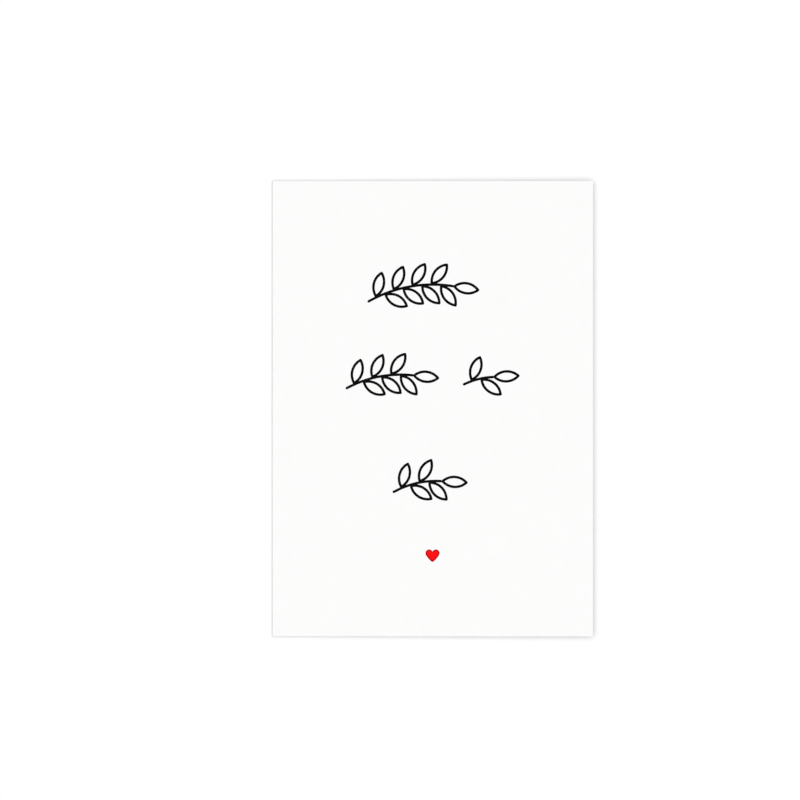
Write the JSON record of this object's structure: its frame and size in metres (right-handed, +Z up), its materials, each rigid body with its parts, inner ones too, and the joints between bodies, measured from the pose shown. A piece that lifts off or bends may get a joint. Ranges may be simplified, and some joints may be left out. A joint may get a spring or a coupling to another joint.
{
  "type": "greeting card",
  "caption": "Portrait greeting card: one folded sheet of white card lying closed, with black leafy sprigs and a small red heart printed on the front.",
  "frame": {"origin": "under the middle of the closed card, on the surface that it lies on", "axes": "+Z up out of the front panel, +Y towards the card's top edge, the fold along Y on the -X side"},
  "size_m": [0.148, 0.21, 0.002],
  "materials": {
    "card_stock": "uncoated smooth white card with a fine tooth",
    "black_ink": "thin black print with a soft sheen",
    "red_ink": "thin bright red print with a soft sheen"
  },
  "bodies": {
    "root": {"folded_card": "card_stock", "top_sprig_print": "black_ink", "middle_long_sprig_print": "black_ink", "middle_short_sprig_print": "black_ink", "bottom_sprig_print": "black_ink", "heart_print": "red_ink"}
  },
  "joints": []
}
